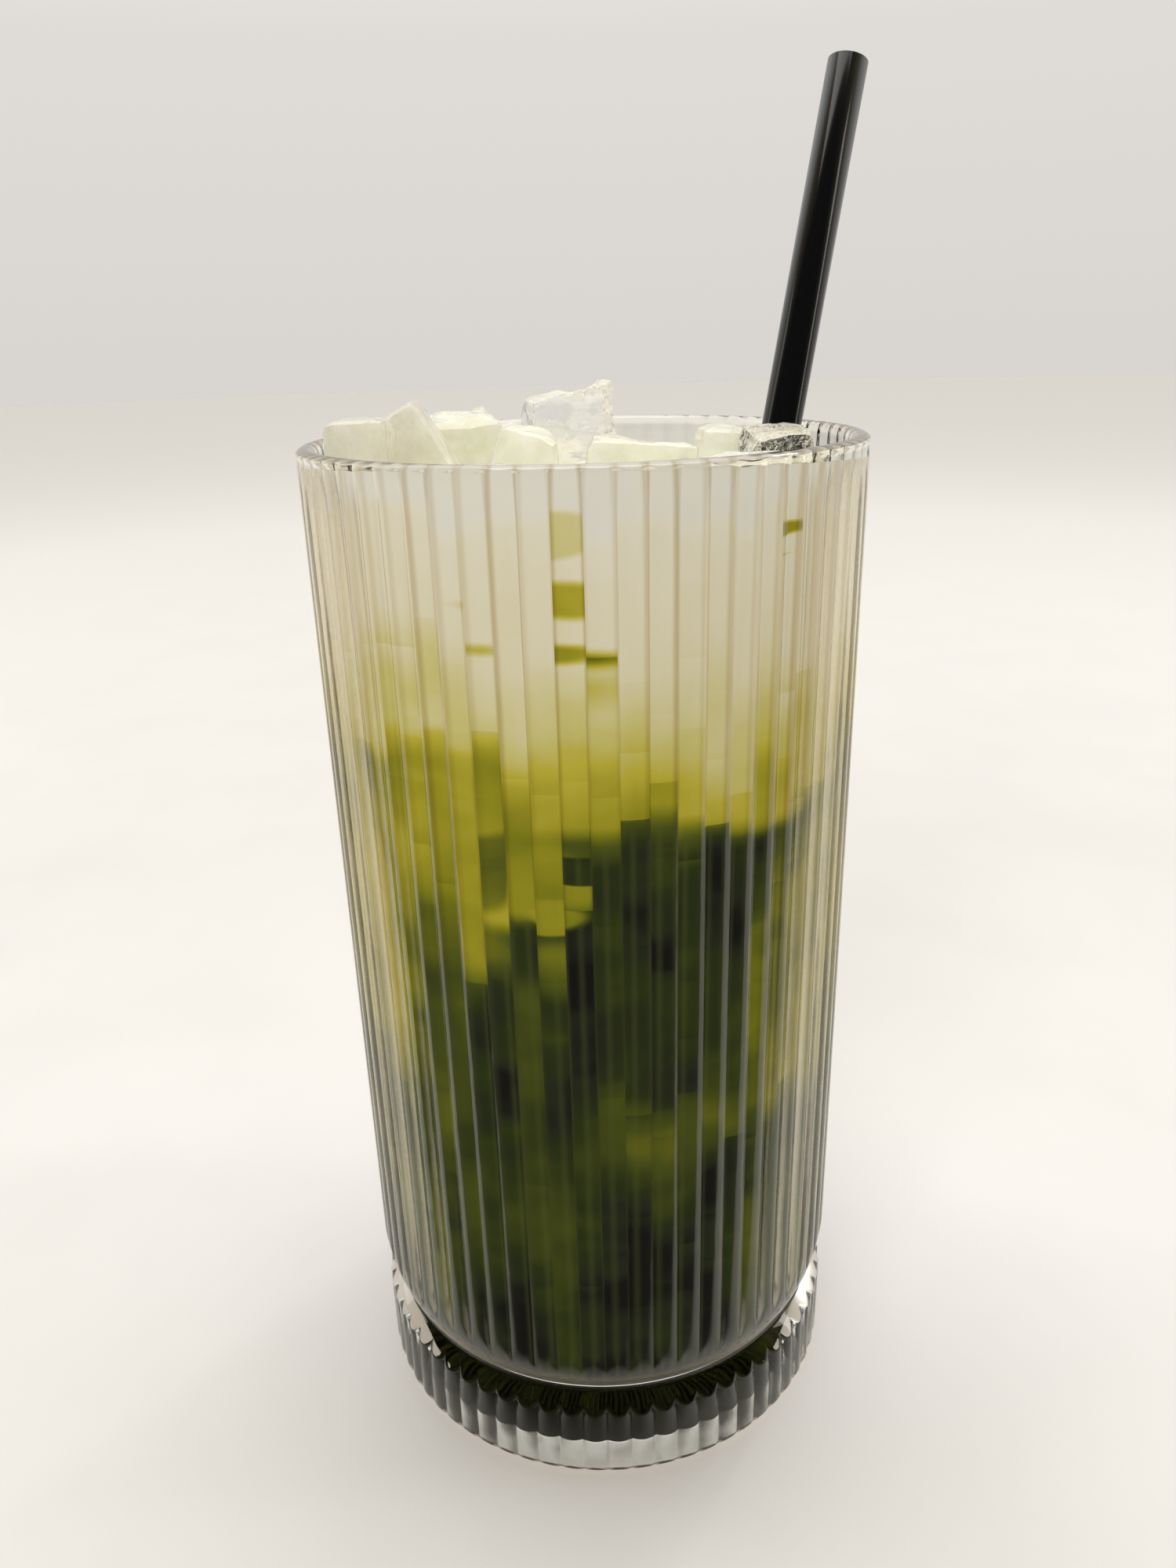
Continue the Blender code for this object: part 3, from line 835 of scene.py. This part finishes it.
def outside_profile():
    """The turned form of the outside from the lip down, as (radius, height)."""
    wide = LIP_RADIUS + CLEAR_OF_RIBS
    lip = (LIP_MIDDLE, GLASS_HEIGHT - LIP_HALF)
    profile = quarter(lip, (wide - LIP_MIDDLE, LIP_HALF), 90, 0, LIP_STEPS)
    profile += [(wide, GLASS_HEIGHT - LIP_FADE * share) for share in (0.45, 0.7, 1.0)]
    profile += [(wide, mix(GLASS_HEIGHT - LIP_FADE, HEEL_TOP, share)) for share in (0.1, 0.4, 0.7, 1.0)]
    for i in range(1, HEEL_STEPS + 1):
        share = i / HEEL_STEPS * (1 - EDGE_ROUNDING / (HEEL_TOP - HEEL_EDGE))
        profile.append((mix(HEEL_RADIUS, HEEL_EDGE_RADIUS, share**2), mix(HEEL_TOP, HEEL_EDGE, share)))
    edge = (HEEL_EDGE_RADIUS - EDGE_ROUNDING, HEEL_EDGE)
    profile += quarter(edge, (EDGE_ROUNDING, EDGE_ROUNDING), -20, -80, EDGE_STEPS)
    # The groove, whose bottom is a little rounded
    profile += [(GROOVE_RADIUS + GROOVE_CORNER, HEEL_EDGE - 0.5), (GROOVE_RADIUS, GROOVE_HEIGHT + 0.5)]
    profile += [
        (GROOVE_RADIUS + GROOVE_CORNER, GROOVE_HEIGHT + 0.1),
        (GROOVE_RADIUS + SHOULDER_OUTSIDE, GROOVE_HEIGHT - SHOULDER_BELOW),
    ]
    for i in range(1, SHOULDER_STEPS + 1):
        share = i / SHOULDER_STEPS
        bulge = SHOULDER_BULGE * math.sin(math.pi * share)
        radius = mix(GROOVE_RADIUS + SHOULDER_OUTSIDE, FOOT_RADIUS + 0.05, share)
        profile.append((radius + bulge, mix(GROOVE_HEIGHT - SHOULDER_BELOW, SHOULDER_BOTTOM, share) + bulge))
    heights = (SHOULDER_BOTTOM - 0.5, 11.0, 9.5, FOOT_RIB_HEIGHT, FOOT_CHAMFER + 0.8)
    profile += [(wide, height) for height in heights]
    # The chamfer, with a little rounding at each end
    profile += [(FOOT_RADIUS - FOOT_ROUNDING, FOOT_CHAMFER)]
    profile += [(FOOT_RADIUS - FOOT_CHAMFER + FOOT_ROUNDING, 1.5 * FOOT_ROUNDING)]
    return profile + [(FOOT_RADIUS - FOOT_CHAMFER - 2 * FOOT_ROUNDING, 0.0)]


def inside_profile():
    """The hollow from the middle of its floor up to the lip."""
    centre = bore_radius(FLOOR_HEIGHT + FLOOR_CORNER) - FLOOR_CORNER
    profile = [(centre / 3, FLOOR_HEIGHT)]
    profile += quarter(
        (centre, FLOOR_HEIGHT + FLOOR_CORNER), (FLOOR_CORNER, FLOOR_CORNER), -90, 0, FLOOR_CORNER_STEPS
    )
    profile += [(bore_radius(z), z) for z in (60.0, 110.0, 145.0, GLASS_HEIGHT - LIP_HALF)]
    lip = (LIP_MIDDLE, GLASS_HEIGHT - LIP_HALF)
    size = (LIP_MIDDLE - bore_radius(GLASS_HEIGHT), LIP_HALF)
    return profile + quarter(lip, size, 170, 100, INNER_LIP_STEPS)


def underside_profile():
    """The flat ring that the glass stands on, and the shallow recess inside it."""
    return [(FOOT_RING_INNER, 0.0), (RECESS_RADIUS, RECESS_DEPTH), (RECESS_RADIUS / 3, RECESS_DEPTH)]


def with_support(profile):
    """The profile with a point close on each side of every corner, so that only the corner itself is shaded
    round."""
    points = [Vector(point) for point in profile]
    supported = [points[0]]
    for before, here, after in zip(points, points[1:], points[2:]):
        back, onwards = before - here, after - here
        corner = math.pi - back.angle(onwards) > CORNER
        if corner and back.length > 3 * SUPPORT:
            supported.append(here + back.normalized() * SUPPORT)
        supported.append(here)
        if corner and onwards.length > 3 * SUPPORT:
            supported.append(here + onwards.normalized() * SUPPORT)
    return supported + [points[-1]]


def make_glass(material):
    profile = with_support(inside_profile() + outside_profile() + underside_profile())
    rings = [ribbed_ring(radius, height) for radius, height in profile]
    glass = add_piece("ribbed_glass", loft("ribbed_glass", rings, sharp=60.0), material)
    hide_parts("glass")
    return glass


def even_ring(radius, height_at):
    points = []
    for i in range(DRINK_COLUMNS):
        angle = math.tau * i / DRINK_COLUMNS
        x, y = radius * math.cos(angle), radius * math.sin(angle)
        points.append((x, y, height_at(x, y)))
    return points


def ice_tree(blocks):
    """A search tree over all the blocks of ice, for the distance from a point to the nearest."""
    shape = bmesh.new()
    for block in blocks:
        shape.from_mesh(block.data)
    tree = BVHTree.FromBMesh(shape)
    shape.free()
    return tree


def swell(x, y, swells):
    """How far the unevenness of foam lifts a place."""
    return sum(height * noise.noise(Vector((x, y, layer)) * often) for height, often, layer in swells)


def milk_height(x, y, radius, edge, tree):
    """Height of the milk, which creeps up the wall and the ice and is gently uneven with foam."""
    to_ice = tree.find_nearest(Vector((x, y, DRINK_LEVEL)) * MM)[3] / MM
    creep = math.exp(-(edge - radius) / MENISCUS_REACH) + ICE_MENISCUS * math.exp(-to_ice / MENISCUS_REACH)
    return DRINK_LEVEL + MENISCUS_RISE * creep + swell(x, y, MILK_SWELLS)


def film_height(x, y):
    """Top of the milky film that clings to the wall, higher at the front."""
    front = 0.5 - 0.5 * y / math.hypot(x, y)
    return mix(FILM_TOP_BACK, FILM_TOP_FRONT, front) + swell(x, y, FILM_SWELLS) * front


def make_drink(in_glass, surface, blocks):
    """One body of drink, from the floor of the hollow to the milk, reaching just into the wall."""
    tree = ice_tree(blocks)
    centre = bore_radius(FLOOR_HEIGHT + FLOOR_CORNER) - FLOOR_CORNER
    size = FLOOR_CORNER + INTO_WALL
    corner = quarter((centre, FLOOR_HEIGHT + FLOOR_CORNER), (size, size), -90, 0, FLOOR_CORNER_STEPS)
    sides = [(bore_radius(z) + INTO_WALL, z) for z in (40.0, 80.0, 120.0, DRINK_LEVEL - 2.0)]
    outline = [(centre / 2, corner[0][1])] + corner + sides
    rings = [even_ring(radius, lambda x, y, z=height: z) for radius, height in outline]
    rings.append(even_ring(bore_radius(DRINK_LEVEL) + INTO_WALL + FILM_INTO_LIP, film_height))
    edge = bore_radius(DRINK_LEVEL) - FILM_THICKNESS
    rings.append(even_ring(edge, film_height))
    for i in range(MILK_RINGS):
        radius = edge * (1 - (i / MILK_RINGS) ** RING_CROWDING)
        rings.append(even_ring(radius, lambda x, y, r=radius: milk_height(x, y, r, edge, tree)))
    mesh = loft("iced_green_tea", rings)
    drink = add_piece("iced_green_tea", mesh, in_glass, surface)
    for face in mesh.polygons:
        inside = face.center.xy.length < (BORE_TOP_RADIUS - FILM_THICKNESS / 2) * MM
        face.material_index = int(face.center.z > (DRINK_LEVEL - OPEN_MARGIN) * MM and inside)
    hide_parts("tea_layer", "blend_layer", "milk_layer")
    return drink


def make_straw(material):
    """A turned tube with lightly rounded ends."""
    outer = STRAW_DIAMETER / 2
    inner = outer - STRAW_WALL
    soft = STRAW_WALL / 4
    top = STRAW_LENGTH
    corners = [
        (outer, top - soft), (outer, soft), (outer - soft, 0.0), (inner + soft, 0.0),
        (inner, soft), (inner, top - soft), (inner + soft, top), (outer - soft, top),
    ]
    mesh = bpy.data.meshes.new("straw_tube")
    edges = [(i, (i + 1) % len(corners)) for i in range(len(corners))]
    mesh.from_pydata([(radius * MM, 0.0, height * MM) for radius, height in corners], edges, [])
    straw = add_piece("straw_tube", mesh, material)
    screw = straw.modifiers.new("turn", "SCREW")
    screw.steps = screw.render_steps = STRAW_SIDES
    screw.use_merge_vertices = True
    screw.merge_threshold = 0.01 * MM
    screw.use_smooth_shade = True
    straw.location = STRAW_FOOT * MM
    straw.rotation_mode = "QUATERNION"
    straw.rotation_quaternion = Vector((0, 0, 1)).rotation_difference(STRAW_AIM)
    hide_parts("straw")
    return straw


def make_ice(node, material, melt, chips):
    """A block of ice in its node's place: the node's own form, finely divided, then melted and chipped."""
    mesh = bpy.data.meshes.new_from_object(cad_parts[node])
    mesh.materials.clear()
    block = add_piece(node.replace("ice_", "ice_block_"), mesh, material)
    remesh = block.modifiers.new("even", "REMESH")
    remesh.mode = "SHARP"
    remesh.octree_depth = ICE_DEPTH
    remesh.use_remove_disconnected = False
    block.data = bpy.data.meshes.new_from_object(block.evaluated_get(bpy.context.evaluated_depsgraph_get()))
    block.modifiers.clear()
    shift = Vector((len(node) * NOISE_STEP, 0.0, 0.0))
    outwards = [vertex.normal.copy() for vertex in block.data.vertices]
    for vertex, normal in zip(block.data.vertices, outwards):
        place = vertex.co / MM
        wave = noise.fractal(place * ICE_WAVES_PER_MM + shift, 1.0, 2.0, 2)
        nearest = noise.voronoi(place * chips + shift)[0][0]
        vertex.co += normal * MM * melt * (wave + CHIP_SHARE * (nearest - CHIP_MIDDLE))
    block.data.shade_smooth()
    block.data.set_sharp_from_angle(angle=ICE_CORNER)
    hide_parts(node)
    return block


# ---- studio ----


def make_floor(material):
    bpy.ops.mesh.primitive_circle_add(vertices=FLOOR_SIDES, radius=FLOOR_SPREAD, fill_type="NGON")
    floor = bpy.context.object
    floor.name = "studio_floor"
    floor.data.materials.append(material)


def add_lamp(name, place, size, power, in_mirrors):
    lamp = bpy.data.lights.new(name, "AREA")
    lamp.shape = "RECTANGLE"
    lamp.size, lamp.size_y = size
    lamp.energy = power
    box = bpy.data.objects.new(name, lamp)
    bpy.context.scene.collection.objects.link(box)
    box.location = place
    box.rotation_euler = (Vector(place) - Vector(LAMP_AIM)).to_track_quat("Z", "Y").to_euler()
    box.visible_transmission = False
    box.visible_glossy = in_mirrors


def light_room():
    """Soft light all round from a pale room, brightest overhead and dim behind the camera."""
    world = bpy.data.worlds.new("studio")
    bpy.context.scene.world = world
    world.use_nodes = True
    tree = world.node_tree
    background = tree.nodes["Background"]
    direction = add(tree, "ShaderNodeTexCoord").outputs["Generated"]
    parts = add(tree, "ShaderNodeSeparateXYZ", {0: direction})
    height = add(tree, "ShaderNodeMapRange", {"Value": parts.outputs["Z"], "From Min": -1.0, "From Max": 1.0})
    by_height = add(tree, "ShaderNodeValToRGB", {0: height.outputs[0]}, ROOM_BY_HEIGHT)
    # The dim part reaches further round in mirrored light, as dark furniture beside the glass would
    path = add(tree, "ShaderNodeLightPath")
    side = add(
        tree, "ShaderNodeMath", {0: path.outputs["Is Glossy Ray"], 1: -MIRRORED_DIM, 2: parts.outputs["Y"]},
        operation="MULTIPLY_ADD",
    )
    # The room itself, where it is in view, has no dim part
    turned = add(
        tree, "ShaderNodeMath", {0: path.outputs["Is Camera Ray"], 1: IN_VIEW_SHIFT, 2: side.outputs[0]},
        operation="MULTIPLY_ADD",
    )
    lit = add(
        tree, "ShaderNodeMapRange", {"Value": turned.outputs[0], "From Min": DIM_SIDE, "From Max": FULL_SIDE}
    )
    by_side = add(tree, "ShaderNodeValToRGB", {0: lit.outputs[0]}, ROOM_BY_SIDE)
    shade = add(
        tree, "ShaderNodeMix", {0: 1.0, 6: by_height.outputs[0], 7: by_side.outputs[0]},
        data_type="RGBA", blend_type="MULTIPLY",
    )
    tree.links.new(shade.outputs[2], background.inputs["Color"])
    background.inputs["Strength"].default_value = ROOM_STRENGTH


def set_camera():
    camera = bpy.data.objects.new("camera", bpy.data.cameras.new("camera"))
    camera.data.sensor_fit = "VERTICAL"
    camera.data.sensor_height = SENSOR
    camera.data.lens = SENSOR * FOCAL_LENGTH / FRAME_HEIGHT
    camera.data.clip_start = 0.01
    bpy.context.scene.collection.objects.link(camera)
    turn = (
        Matrix.Rotation(math.radians(CAMERA_HEADING), 4, "Z")
        @ Matrix.Rotation(math.radians(90 - CAMERA_DIP), 4, "X")
        @ Matrix.Rotation(math.radians(CAMERA_ROLL), 4, "Z")
    )
    camera.matrix_world = Matrix.Translation(Vector(CAMERA_PLACE) * MM) @ turn
    bpy.context.scene.camera = camera


# ---- making ----

set_camera()
light_room()
for lamp in LAMPS:
    add_lamp(*lamp)
bpy.context.scene.view_settings.view_transform = "Standard"

ice = {name: cloudy_ice(name, deep, pale, clearness, dent) for name, deep, pale, clearness, dent in ICE_KINDS}
blocks = [make_ice(node, ice[kind], melt, chips) for node, kind, melt, chips in ICE_BLOCKS]
glass = make_glass(pressed_glass())
straw = make_straw(straw_plastic())
drink = make_drink(tea_in_glass(), milk_surface(), blocks)
make_floor(studio_floor())
for piece in [glass, straw, drink] + blocks:
    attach(piece, "root")
